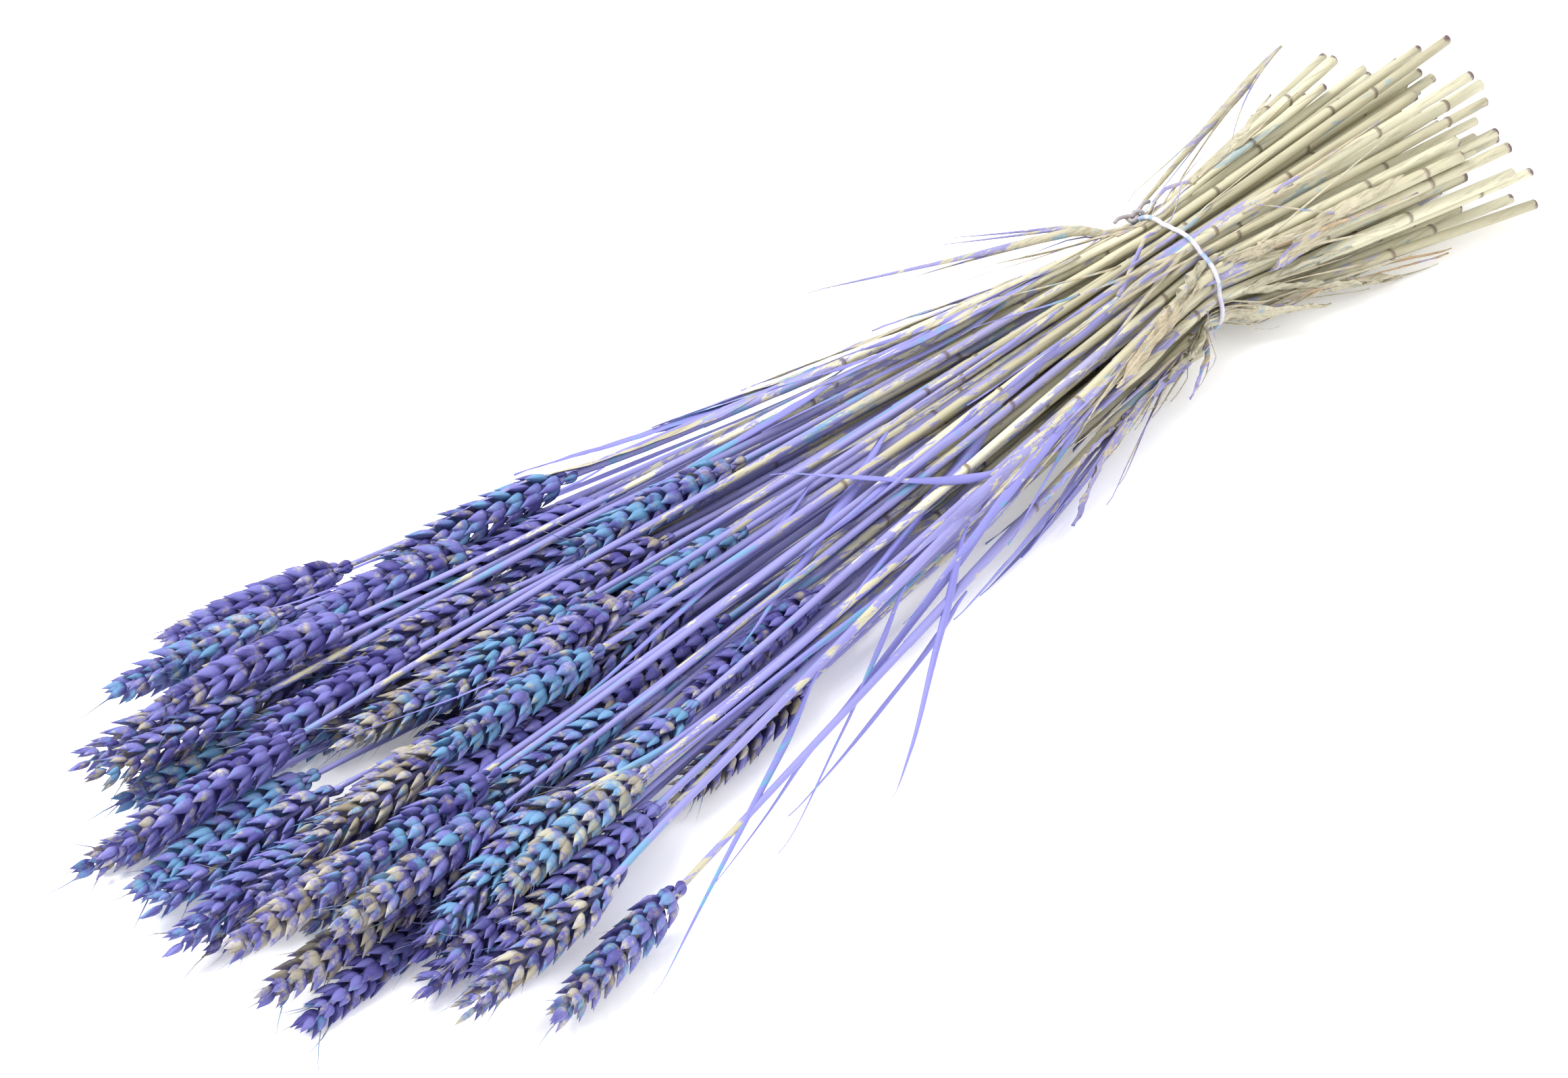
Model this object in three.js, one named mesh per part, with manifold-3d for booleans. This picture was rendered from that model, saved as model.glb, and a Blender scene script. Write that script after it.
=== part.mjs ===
// A tied bunch of dried wheat, lying on a table.
//
// Millimetres, +Z up. The straws run along X: cut ends towards +X, ears towards -X.
// The origin is under the middle of the bunch, on the surface that it rests on.
//
// Every stalk is one piece: a straw with its ear, flat at the cut end and pointed at the ear's tip.
// A string squeezes the straws together at the waist of the bunch, and from there they spread to
// both ends, lying beside and on each other. Every third straw of the bunch has no solid: its room
// is kept free between the others.

import * as THREE from 'three';
import { mergeVertices } from 'three/addons/utils/BufferGeometryUtils.js';
import Module from 'manifold-3d';

const wasm = await Module();
wasm.setup();

// ---- Driving dimensions, mm ----
const STRAWS = 84;
const LEFT_OUT_EVERY = 3; // every third straw has no solid

const WAIST_HALF_WIDTH = 26; // to the middle of the outermost straws
const WAIST_HALF_HEIGHT = 23.5;
const WAIST_HEIGHT = 30; // of the waist's middle above the table

const BUTT_LENGTH = 178; // from the string to the longest cut end
const BUTT_STAGGER = 58; // how much shorter the shortest butt is
const BUTT_SLOPE = { lean: 0, spread: 0.19, stray: 0.03, rise: 0.11, droop: 0.01 };

const EAR_REACH = 556; // from the string to the furthest ear's tip
const EAR_STAGGER = 235; // how much nearer the nearest ear's tip is
const FURTHEST_SIDE = -0.2; // where in the fan the ears reach furthest, from -1 to 1
const EDGE_SHORTFALL = 75; // how much less they reach for each unit away from there
const FAN_SLOPE = { lean: 0.005, spread: 0.22, stray: 0.022 };
const FAN_BED = { lowest: 6, highest: 34 }; // heights of the ears' middles above the table

const STRAW_RADIUS = { cut: 2.55, neck: 1.2 };
const EAR_RADIUS = 6.8;
const EAR_FLATNESS = 0.84; // thickness over width
const EAR_LENGTH = { shortest: 80, longest: 98 };
const EAR_PROFILE = { full: 0.22, taper: 0.5, tip: 0.38 };

// One straw has slipped out of the fan on the near side and lies alone.
const LONE = { index: 80, fanSlope: -0.235, tip: 482 };

const LEAVES = [
  { from: -30, to: 142, side: 0.9, rise: 0.75, slope: 0.33, lift: 0.07, halfWidth: 2.4 },
  { from: -142, to: 18, side: 1.12, rise: 0.3, slope: -0.23, lift: 0.1, halfWidth: 2.8 },
  { from: 34, to: 196, side: -1.13, rise: 0.3, slope: -0.13, lift: -0.04, halfWidth: 4.2 },
];
const LEAF_FLATNESS = 0.22;

const STRING_RADIUS = 1.1;
const KNOT = { radius: 3.2, angle: 0.8, tail: 14 };
const CLEARANCE = 0.35; // kept between neighbouring pieces

// ---- Resolution ----
const JOINT = 40; // a straw is straight between joints at multiples of this
const SAMPLES = 4; // places in each such stretch where straws are kept apart
const SIDES = 6;
const STRING_SIDES = 8;
const STRING_STEPS = 64;
const SETTLING_ROUNDS = 120;
const FINAL_ROUNDS = 80;
const GOLDEN_ANGLE = Math.PI * (3 - Math.sqrt(5));

const { lerp, clamp, smoothstep } = THREE.MathUtils;

// A repeatable number from 0 to 1 for a straw and a purpose.
function chance(index, purpose) {
  const x = Math.sin(index * 127.1 + purpose * 311.7) * 43758.5453;
  return x - Math.floor(x);
}

const stray = (index, purpose) => 2 * chance(index, purpose) - 1;

// ---- Planning: t is the distance from the string, positive towards the ears ----

// One straw: its place in the waist, its ends, and its spread to both sides of the string.
function planStraw(index) {
  const out = Math.sqrt((index + 0.5) / STRAWS);
  const side = out * Math.cos(index * GOLDEN_ANGLE);
  const rise = out * Math.sin(index * GOLDEN_ANGLE);
  const earLength = lerp(EAR_LENGTH.shortest, EAR_LENGTH.longest, chance(index, 1));
  const reach = EAR_REACH - EDGE_SHORTFALL * Math.abs(side - FURTHEST_SIDE) ** 2.5;
  const straw = {
    index,
    side,
    rise,
    earLength,
    tip: reach - EAR_STAGGER * chance(index, 2) ** 1.3,
    cut: -(BUTT_LENGTH - BUTT_STAGGER * chance(index, 3) ** 1.3),
    fanSlope: FAN_SLOPE.lean + FAN_SLOPE.spread * side + FAN_SLOPE.stray * stray(index, 4),
    buttSlope: BUTT_SLOPE.lean + BUTT_SLOPE.spread * side + BUTT_SLOPE.stray * stray(index, 5),
    buttRise: BUTT_SLOPE.rise * rise - BUTT_SLOPE.droop + BUTT_SLOPE.stray * stray(index, 6),
    roll: Math.PI * chance(index, 7),
    thickness: lerp(0.84, 1.08, chance(index, 8)),
  };
  if (index === LONE.index) Object.assign(straw, LONE);
  return straw;
}

// A loose leaf blade takes part in the laying as a thin straw of its own width.
function planLeaf(leaf, k) {
  return {
    index: STRAWS + k,
    leaf,
    side: leaf.side,
    rise: leaf.rise,
    cut: leaf.from,
    tip: leaf.to,
    fanSlope: leaf.slope,
    buttSlope: -leaf.slope,
    lift: leaf.lift,
    buttRise: leaf.lift,
    roll: leaf.side > 0 ? 0.7 : -0.5,
  };
}

// The radius that a straw or leaf needs at t.
function radiusAt(straw, t) {
  const along = (t - straw.cut) / (straw.tip - straw.cut);
  if (straw.leaf) return straw.leaf.halfWidth * Math.sin(Math.PI * lerp(0.12, 0.97, along));
  const stem = straw.thickness * lerp(STRAW_RADIUS.cut, STRAW_RADIUS.neck, along);
  const ear = (t - (straw.tip - straw.earLength)) / straw.earLength;
  if (ear <= 0) return stem;
  const taper = 1 - (1 - EAR_PROFILE.tip) * smoothstep(ear, EAR_PROFILE.taper, 1);
  return lerp(stem, EAR_RADIUS, smoothstep(ear, 0, EAR_PROFILE.full) * taper);
}

// Where a straw is drawn to at t: x is sideways and y is up.
function drawnTo(straw, t) {
  const x = WAIST_HALF_WIDTH * straw.side;
  const y = WAIST_HEIGHT + WAIST_HALF_HEIGHT * straw.rise;
  if (t < 0) return new THREE.Vector2(x - straw.buttSlope * t, y - straw.buttRise * t);
  if (straw.leaf) return new THREE.Vector2(x + straw.fanSlope * t, y + straw.lift * t);
  const bed = lerp(FAN_BED.lowest, FAN_BED.highest, (1 + straw.rise) / 2);
  return new THREE.Vector2(x + straw.fanSlope * t, lerp(y, bed, smoothstep(t, 40, 440)));
}

// ---- Laying the straws beside and on each other ----

const firstJoint = (straw) => Math.min(0, Math.floor(straw.cut / JOINT));
const lastJoint = (straw) => Math.max(0, Math.ceil(straw.tip / JOINT));
const hasJoint = (straw, k) => k >= firstJoint(straw) && k <= lastJoint(straw);

// The straw's middle at any t.
function middleAt(straw, t) {
  const low = clamp(Math.floor(t / JOINT), firstJoint(straw), lastJoint(straw));
  const start = straw.joints.get(low);
  const end = straw.joints.get(low + 1) ?? start;
  return new THREE.Vector2().lerpVectors(start, end, t / JOINT - low);
}

// Moves straws that overlap at t apart, and lifts them off the table. Only joints that the
// filter lets through give way.
function separateAt(straws, t, mayMove) {
  const low = Math.floor(t / JOINT);
  const share = t / JOINT - low;
  const here = straws.filter((s) => t >= s.cut && t <= s.tip && hasJoint(s, low + (share > 0)));
  const middles = here.map((s) => middleAt(s, t));
  const starts = middles.map((m) => m.clone());
  const radii = here.map((s) => radiusAt(s, t) + CLEARANCE / 2);
  for (let i = 0; i < here.length; i++) {
    const a = middles[i];
    for (let j = i + 1; j < here.length; j++) {
      const b = middles[j];
      const dx = b.x - a.x;
      const dy = b.y - a.y;
      const reach = radii[i] + radii[j];
      if (Math.abs(dx) > reach || Math.abs(dy) > reach) continue;
      const gap = Math.hypot(dx, dy);
      if (gap >= reach) continue;
      const push = (reach - gap) / (2 * gap);
      a.x -= push * dx;
      a.y -= push * dy;
      b.x += push * dx;
      b.y += push * dy;
    }
    a.y = Math.max(a.y, radii[i]);
  }
  here.forEach((straw, i) => {
    const moved = middles[i].sub(starts[i]);
    if (moved.lengthSq() === 0) return;
    const weights = [[low, 1 - share], [low + 1, share]].filter(([k, w]) => w > 0 && mayMove(k));
    const total = weights.reduce((sum, [, w]) => sum + w * w, 0);
    const gain = Math.min(1 / total, 2);
    for (const [k, w] of weights) straw.joints.get(k).addScaledVector(moved, w * gain);
  });
}

function separate(straws, from, to, mayMove) {
  const step = JOINT / SAMPLES;
  for (let t = from * JOINT; t <= to * JOINT; t += step) separateAt(straws, t, mayMove);
}

// Walks from the string to one end, so that no straw passes through another.
function spreadTowards(straws, direction, end) {
  for (let k = direction; k !== end + direction; k += direction) {
    for (const straw of straws.filter((s) => hasJoint(s, k))) {
      const before = k - direction;
      const pull = drawnTo(straw, k * JOINT).sub(drawnTo(straw, before * JOINT));
      straw.joints.set(k, pull.add(straw.joints.get(before)));
    }
    const [low, high] = direction > 0 ? [k - 1, k] : [k, k + 1];
    for (let pass = 0; pass < 12; pass++) separate(straws, low, high, (joint) => joint === k);
  }
}

// Stiff straws straighten out, and settle under their weight.
function straighten(straw) {
  for (const [k, joint] of straw.joints) {
    if (k === 0) continue;
    const inward = straw.joints.get(k - Math.sign(k));
    const outward = straw.joints.get(k + Math.sign(k));
    const further = straw.joints.get(k - 2 * Math.sign(k));
    if (outward) joint.lerp(inward.clone().add(outward).multiplyScalar(0.5), 0.4);
    else if (further) joint.lerp(inward.clone().multiplyScalar(2).sub(further), 0.2);
    joint.lerp(drawnTo(straw, k * JOINT), 0.02);
    if (!straw.leaf) joint.y -= 0.06;
  }
}

function layStraws(straws) {
  for (const straw of straws) straw.joints = new Map([[0, drawnTo(straw, 0)]]);
  const first = Math.min(...straws.map(firstJoint));
  const last = Math.max(...straws.map(lastJoint));
  for (let pass = 0; pass < 60; pass++) separateAt(straws, 0, () => true);
  spreadTowards(straws, 1, last);
  spreadTowards(straws, -1, first);
  const besideWaist = (k) => k !== 0;
  for (let round = 0; round < SETTLING_ROUNDS; round++) {
    straws.forEach(straighten);
    separate(straws, first, last, besideWaist);
  }
  for (let round = 0; round < FINAL_ROUNDS; round++) separate(straws, first, last, besideWaist);
}

// ---- Pieces ----

const FINISHES = {
  straw: { color: 0x8d89cf, roughness: 0.8, metalness: 0 },
  leaf: { color: 0xa9a3c4, roughness: 0.85, metalness: 0 },
  string: { color: 0xe6e2ea, roughness: 0.9, metalness: 0 },
};

function piece(name, geometry, finish) {
  const mesh = new THREE.Mesh(geometry, new THREE.MeshStandardMaterial(FINISHES[finish]));
  mesh.name = name;
  return mesh;
}

// Moves a shape that was turned about the Y axis onto the path of a straw or leaf.
function layOnPath(geometry, straw, flatnessAt) {
  const position = geometry.getAttribute('position');
  for (let i = 0; i < position.count; i++) {
    const t = position.getY(i);
    const across = new THREE.Vector2(position.getX(i), position.getZ(i) * flatnessAt(t));
    across.rotateAround(new THREE.Vector2(), straw.roll);
    const middle = middleAt(straw, t);
    position.setXYZ(i, -t, middle.x + across.x, middle.y + across.y);
  }
  return geometry;
}

function turned(straw, rings) {
  const outline = rings.map((t) => new THREE.Vector2(radiusAt(straw, t), t));
  const foot = new THREE.Vector2(0, straw.cut);
  const tip = new THREE.Vector2(0, straw.tip);
  return new THREE.LatheGeometry([foot, ...outline, tip], SIDES);
}

// Joints strictly inside a stretch of t.
function jointsWithin(from, to) {
  const first = Math.floor(from / JOINT) + 1;
  const count = Math.max(0, Math.ceil(to / JOINT) - first);
  return Array.from({ length: count }, (_, k) => (first + k) * JOINT);
}

function stalkGeometry(straw) {
  const earBase = straw.tip - straw.earLength;
  const ear = [0, 0.11, 0.24, 0.52, 0.78].map((share) => earBase + share * straw.earLength);
  const rings = [straw.cut, ...jointsWithin(straw.cut, earBase), ...ear];
  return layOnPath(turned(straw, rings), straw, (t) => (t > earBase ? EAR_FLATNESS : 1));
}

function leafGeometry(straw) {
  const rings = Array.from({ length: 9 }, (_, k) => lerp(straw.cut, straw.tip, k / 9));
  return layOnPath(turned(straw, rings), straw, () => LEAF_FLATNESS);
}

// ---- String ----

function toSolid(geometry) {
  geometry.deleteAttribute('normal');
  geometry.deleteAttribute('uv');
  const merged = mergeVertices(geometry, 1e-4);
  return new wasm.Manifold(
    new wasm.Mesh({
      numProp: 3,
      vertProperties: new Float32Array(merged.getAttribute('position').array),
      triVerts: new Uint32Array(merged.getIndex().array),
    }),
  );
}

function toGeometry(solid) {
  const { vertProperties, triVerts } = solid.getMesh();
  const geometry = new THREE.BufferGeometry();
  geometry.setAttribute('position', new THREE.BufferAttribute(vertProperties, 3));
  geometry.setIndex(new THREE.BufferAttribute(triVerts, 1));
  geometry.computeVertexNormals();
  return geometry;
}

// How far the outermost straw or leaf reaches from the waist's middle in a direction.
function waistReach(straws, angle) {
  const direction = new THREE.Vector2(Math.cos(angle), Math.sin(angle));
  const middle = new THREE.Vector2(0, WAIST_HEIGHT);
  return Math.max(
    ...straws
      .filter((s) => s.cut < 0)
      .map((s) => middleAt(s, 0).sub(middle).dot(direction) + radiusAt(s, 0)),
  );
}

// The string: a ring pulled tight around the waist, with a knot and two short tails.
function stringGeometry(straws) {
  const ring = new THREE.TorusGeometry(WAIST_HALF_WIDTH, STRING_RADIUS, STRING_SIDES, STRING_STEPS);
  const position = ring.getAttribute('position');
  for (let i = 0; i < position.count; i++) {
    const angle = Math.atan2(position.getY(i), position.getX(i));
    const offset = Math.hypot(position.getX(i), position.getY(i)) - WAIST_HALF_WIDTH;
    const radius = waistReach(straws, angle) + CLEARANCE + STRING_RADIUS + offset;
    position.setXYZ(
      i,
      position.getZ(i),
      radius * Math.cos(angle),
      WAIST_HEIGHT + radius * Math.sin(angle),
    );
  }
  const out = waistReach(straws, KNOT.angle) + CLEARANCE + KNOT.radius;
  const direction = new THREE.Vector3(0, Math.cos(KNOT.angle), Math.sin(KNOT.angle));
  const middle = new THREE.Vector3(0, 0, WAIST_HEIGHT).addScaledVector(direction, out);
  const knot = new THREE.IcosahedronGeometry(KNOT.radius, 1).translate(...middle);
  const tails = [-1, 1].map((towards) => {
    const end = direction.clone().multiplyScalar(0.35).add(new THREE.Vector3(towards, 0, 0.1));
    const tail = new THREE.CylinderGeometry(STRING_RADIUS, STRING_RADIUS, KNOT.tail, SIDES);
    tail.translate(0, KNOT.tail / 2, 0);
    const turn = new THREE.Quaternion().setFromUnitVectors(
      new THREE.Vector3(0, 1, 0),
      end.normalize(),
    );
    return tail.applyQuaternion(turn).translate(...middle);
  });
  const solids = [ring, knot, ...tails].map(toSolid);
  return toGeometry(solids.reduce((whole, part) => whole.add(part)));
}

// ---- The bunch ----

const straws = Array.from({ length: STRAWS }, (_, index) => planStraw(index));
const leaves = LEAVES.map(planLeaf);
const everything = [...straws, ...leaves];
layStraws(everything);

const bunch = new THREE.Group();
straws
  .filter((straw) => straw.index % LEFT_OUT_EVERY !== 0)
  .forEach((straw, k) => {
    const number = String(k + 1).padStart(2, '0');
    bunch.add(piece(`wheat_stalk_${number}`, stalkGeometry(straw), 'straw'));
  });
leaves.forEach((leaf, k) => bunch.add(piece(`leaf_blade_${k + 1}`, leafGeometry(leaf), 'leaf')));
bunch.add(piece('tie_string', stringGeometry(everything), 'string'));

// The origin goes under the middle of the bunch.
const box = new THREE.Box3().setFromObject(bunch);
const middle = box.getCenter(new THREE.Vector3());
bunch.position.set(-middle.x, -middle.y, -box.min.z);

export default bunch;
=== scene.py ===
"""A tied bunch of dyed, dried wheat: straws, ears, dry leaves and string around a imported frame."""

import math
import random

import bmesh
import bpy
import numpy as np
from bpy.props import FloatProperty, FloatVectorProperty, IntProperty, PointerProperty
from mathutils import Matrix, Quaternion, Vector


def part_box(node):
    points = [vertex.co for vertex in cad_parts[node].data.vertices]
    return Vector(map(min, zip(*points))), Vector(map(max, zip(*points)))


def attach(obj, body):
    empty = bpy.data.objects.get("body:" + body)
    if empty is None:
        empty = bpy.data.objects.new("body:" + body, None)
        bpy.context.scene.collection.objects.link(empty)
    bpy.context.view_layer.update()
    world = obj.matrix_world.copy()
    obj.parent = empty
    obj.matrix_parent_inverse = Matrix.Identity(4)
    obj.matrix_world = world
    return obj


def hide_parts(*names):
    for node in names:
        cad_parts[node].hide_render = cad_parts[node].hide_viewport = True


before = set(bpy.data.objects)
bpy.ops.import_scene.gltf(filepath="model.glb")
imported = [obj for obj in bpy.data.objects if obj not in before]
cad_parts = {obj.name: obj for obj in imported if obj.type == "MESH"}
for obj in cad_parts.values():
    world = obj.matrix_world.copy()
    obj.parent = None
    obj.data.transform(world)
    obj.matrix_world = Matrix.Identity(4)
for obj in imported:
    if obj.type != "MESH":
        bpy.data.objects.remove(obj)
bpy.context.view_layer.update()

bl_info = {
    "name": "Wheat bunch",
    "version": (1, 0, 0),
    "blender": (4, 5, 0),
    "location": "View3D > Sidebar > Wheat",
    "description": "Builds a tied bunch of dyed, dried wheat from straws, ears, leaves and string",
    "category": "Add Mesh",
}

BODY = "root"
MM = 0.001
UP = Vector((0, 0, 1))
TABLE_GAP = 0.3 * MM
MAP_EDGE = 0.03  # kept free around each row of a piece's map, as a share of the row

# ---- The laying plan of the bunch, in millimetres, as the solids follow it ----

STALKS = 84
LEFT_OUT_EVERY = 3  # every third stalk has no solid, and lies between the others
WAIST_HALF = (26.0, 23.5)
WAIST_HEIGHT = 30.0
BUTT_LENGTH, BUTT_STAGGER = 178.0, 58.0
EAR_REACH, EAR_STAGGER = 556.0, 235.0
FURTHEST_SIDE, EDGE_SHORTFALL = -0.2, 75.0
EAR_LENGTH = (80.0, 98.0)
STRAW_RADIUS = (2.55, 1.2)  # at the cut end and at the ear's tip
THICKNESS = (0.84, 1.08)
EAR_RADIUS = 6.8
GOLDEN_ANGLE = math.pi * (3 - math.sqrt(5))

FIRST_T, LAST_T, STEP = -190, 570, 10
GRID = np.arange(FIRST_T, LAST_T + STEP, STEP, dtype=float)


def chance(index, purpose):
    """A repeatable number from 0 to 1 for a stalk and a purpose."""
    x = math.sin(index * 127.1 + purpose * 311.7) * 43758.5453
    return x - math.floor(x)


def lerp(a, b, share):
    return a + (b - a) * share


def smoothstep(x, low, high):
    x = np.clip((x - low) / (high - low), 0, 1)
    return x * x * (3 - 2 * x)


def smoothed(values):
    """Rounds the corners of a path, and keeps its ends."""
    return np.convolve(np.pad(values, 1, mode="edge"), [0.25, 0.5, 0.25], "valid")


class Stalk:
    """One stalk. t is the distance from the string in millimetres, positive towards the ears."""

    def __init__(self, number, cut, tip, ear_length, roll, thickness, node=None):
        self.number = number
        self.cut = cut
        self.tip = tip
        self.ear_length = ear_length
        self.roll = roll
        self.thickness = thickness
        self.node = node
        self.y = np.zeros_like(GRID)
        self.z = np.zeros_like(GRID)

    @property
    def ear_base(self):
        return self.tip - self.ear_length

    def straw_radius(self, t):
        along = np.clip((t - self.cut) / (self.tip - self.cut), 0, 1)
        return self.thickness * lerp(*STRAW_RADIUS, along)

    def reach(self, t):
        """The radius that the stalk, ear included, takes up at t."""
        ear = (t - self.ear_base) / self.ear_length
        stem = self.straw_radius(t)
        swell = smoothstep(ear, 0, 0.22) * (1 - 0.62 * smoothstep(ear, 0.5, 1))
        return np.where(ear <= 0, stem, lerp(stem, EAR_RADIUS, swell))

    def at(self, t):
        """The centre line's y and z at t."""
        return np.array([np.interp(t, GRID, self.y), np.interp(t, GRID, self.z)])

    def middle(self, t):
        """The stalk's centre line in the frame, in metres."""
        place = (t - FIRST_T) / STEP
        k = int(min(max(math.floor(place), 1), len(GRID) - 3))
        y, z = (catmull(values[k - 1 : k + 3], place - k) for values in (self.y, self.z))
        return Vector((STRING_X - t * MM, y * MM, z * MM))

    def axes(self, t):
        """Unit vectors at t: sideways, up and along towards the ear's tip."""
        along = (self.middle(t + 2) - self.middle(t - 2)).normalized()
        side = UP.cross(along).normalized()
        return side, along.cross(side), along


def catmull(p, u):
    """A smooth curve through p[1] and p[2] at a share u of the way."""
    return 0.5 * (
        2 * p[1]
        + (p[2] - p[0]) * u
        + (2 * p[0] - 5 * p[1] + 4 * p[2] - p[3]) * u**2
        + (3 * p[1] - p[0] - 3 * p[2] + p[3]) * u**3
    )


RING_CORNERS = 6  # of a solid
EAR_BASE_RING, WIDEST_RING = -6, -3  # of a solid stalk's rings


def middle_of(node):
    low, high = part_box(node)
    return (Vector(low) + Vector(high)) / 2


def rings_of(node):
    """The rings of a solid, from the cut end to the tip: distance t, centre and corners."""
    points = {tuple(round(c / MM, 3) for c in v.co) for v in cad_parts[node].data.vertices}
    rings = {}
    for x, y, z in points:
        rings.setdefault(round(x, 2), []).append((y, z))
    found = []
    for x in sorted(rings, reverse=True):
        corners = np.array(rings[x])
        centre = corners.mean(0)
        if len(corners) > RING_CORNERS:  # the cut end has its middle too
            outward = np.argsort(np.linalg.norm(corners - centre, axis=1))
            corners = corners[outward[-RING_CORNERS:]]
        found.append((STRING_X / MM - x, centre, corners - centre))
    return found


STRING_X = middle_of("tie_string").x


def stalk_from(node, number):
    """Reads a stalk's path, ends, roll and thickness from its solid."""
    rings = rings_of(node)
    t = np.array([ring[0] for ring in rings])
    centres = np.array([ring[1] for ring in rings])
    widest = rings[WIDEST_RING][2]
    wide = np.linalg.eigh(widest.T @ widest)[1][:, 1]
    ear_base = t[EAR_BASE_RING]
    stalk = Stalk(
        number,
        cut=t[0],
        tip=t[-1],
        ear_length=t[-1] - ear_base,
        roll=math.atan2(wide[1], wide[0]),
        thickness=np.linalg.norm(rings[0][2], axis=1).max() / STRAW_RADIUS[0],
        node=node,
    )
    for axis, values in enumerate((stalk.y, stalk.z)):
        values[:] = np.interp(GRID, t, centres[:, axis])
        values[:] = smoothed(extended(values, t[0], t[-1]))
    return stalk


def extended(values, first, last):
    """Carries a path straight on past both of its ends."""
    inside = np.flatnonzero((GRID >= first) & (GRID <= last))
    a, b = inside[0], inside[-1]
    values = values.copy()
    values[:a] = values[a] - (values[a + 3] - values[a]) / 3 * np.arange(a, 0, -1)
    values[b + 1 :] = values[b] + (values[b] - values[b - 3]) / 3 * np.arange(1, len(GRID) - b)
    return values


def waist_place(index):
    """Where the plan puts a stalk in the waist: y and z."""
    out = math.sqrt((index + 0.5) / STALKS)
    side = out * math.cos(index * GOLDEN_ANGLE)
    rise = out * math.sin(index * GOLDEN_ANGLE)
    return side, np.array([WAIST_HALF[0] * side, WAIST_HEIGHT + WAIST_HALF[1] * rise])


def planned(index):
    """A stalk without a solid: its ends, before it is fitted in."""
    side, _ = waist_place(index)
    reach = EAR_REACH - EDGE_SHORTFALL * abs(side - FURTHEST_SIDE) ** 2.5
    return Stalk(
        index + 1,
        cut=-(BUTT_LENGTH - BUTT_STAGGER * chance(index, 3) ** 1.3),
        tip=reach - EAR_STAGGER * chance(index, 2) ** 1.3,
        ear_length=lerp(*EAR_LENGTH, chance(index, 1)),
        roll=math.pi * chance(index, 7),
        thickness=lerp(*THICKNESS, chance(index, 8)),
    )


FIT_ROUNDS, FIT_PUSH, FIT_EASE = 160, 0.8, 0.5


def fitted_in(fixed, loose, shift):
    """Lets the loose stalks follow their neighbours, and pushes them out of the others' way."""
    waist = np.searchsorted(GRID, 0)
    paths = np.array([[s.y, s.z] for s in fixed])
    for stalk in loose:
        start = waist_place(stalk.number - 1)[1] + shift
        near = np.linalg.norm(paths[:, :, waist] - start, axis=1)
        closest = np.argsort(near)[:3]
        weight = 1 / (near[closest] + 1)
        course = np.tensordot(weight / weight.sum(), paths[closest], 1)
        stalk.y, stalk.z = course - course[:, waist : waist + 1] + start[:, None]
    everyone = [*loose, *fixed]
    place = np.array([[s.y, s.z] for s in everyone])
    radius = np.array([s.reach(GRID) for s in everyone])
    present = np.array([(GRID >= s.cut - STEP) & (GRID <= s.tip + STEP) for s in everyone])
    count = len(loose)
    mine = place[:count]
    for _ in range(FIT_ROUNDS):
        gap = mine[:, None] - place[None]
        far = np.sqrt((gap**2).sum(2)) + 1e-6
        lap = np.clip(radius[:count, None] + radius[None] - far, 0, None)
        lap *= present[:count, None] & present[None]
        lap[np.arange(count), np.arange(count)] = 0
        lap[:, :count] *= 0.5
        mine += FIT_PUSH * (gap / far[:, :, None] * lap[:, :, None]).sum(1)
        mine[:, 1] = np.maximum(mine[:, 1], radius[:count])
        pinned = mine[:, :, waist].copy()
        between = (mine[:, :, :-2] + mine[:, :, 2:]) / 2
        mine[:, :, 1:-1] += FIT_EASE * (between - mine[:, :, 1:-1])
        mine[:, :, waist] = pinned
    for stalk, (y, z) in zip(loose, place):
        stalk.y = extended(y, stalk.cut, stalk.tip)
        stalk.z = np.maximum(extended(z, stalk.cut, stalk.tip), 1.5)


def all_stalks():
    """Every stalk of the bunch, worked out once."""
    if not all_stalks.found:
        names = sorted(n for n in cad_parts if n.startswith("wheat_stalk"))
        solid = [index for index in range(STALKS) if index % LEFT_OUT_EVERY]
        fixed = [stalk_from(name, index + 1) for name, index in zip(names, solid)]
        loose = [planned(index) for index in range(0, STALKS, LEFT_OUT_EVERY)]
        shift = np.mean([s.at(0) - waist_place(s.number - 1)[1] for s in fixed], axis=0)
        fitted_in(fixed, loose, shift)
        all_stalks.found = sorted([*fixed, *loose], key=lambda s: s.number)
    return all_stalks.found


all_stalks.found = []


def outermost(t, angle):
    """The stalk that reaches furthest at t in a direction across the bunch."""
    here = [s for s in all_stalks() if s.cut + 4 < t < s.ear_base]
    towards = np.array([math.cos(angle), math.sin(angle)])
    return max(here, key=lambda s: s.at(t) @ towards)


def waist_centre():
    return np.mean([s.at(0) for s in all_stalks()], axis=0)


def waist_reach(angle):
    """How far the straws reach from the waist's middle in a direction."""
    towards = np.array([math.cos(angle), math.sin(angle)])
    centre = waist_centre()
    return max((s.at(0) - centre) @ towards + float(s.straw_radius(0)) for s in all_stalks())


# ---- Mesh tools ----


def placed(axes, origin, scale=(1, 1, 1)):
    """A matrix from three axes, a place and a scale along each axis."""
    matrix = Matrix([axis * size for axis, size in zip(axes, scale)]).transposed().to_4x4()
    matrix.translation = origin
    return matrix


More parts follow.
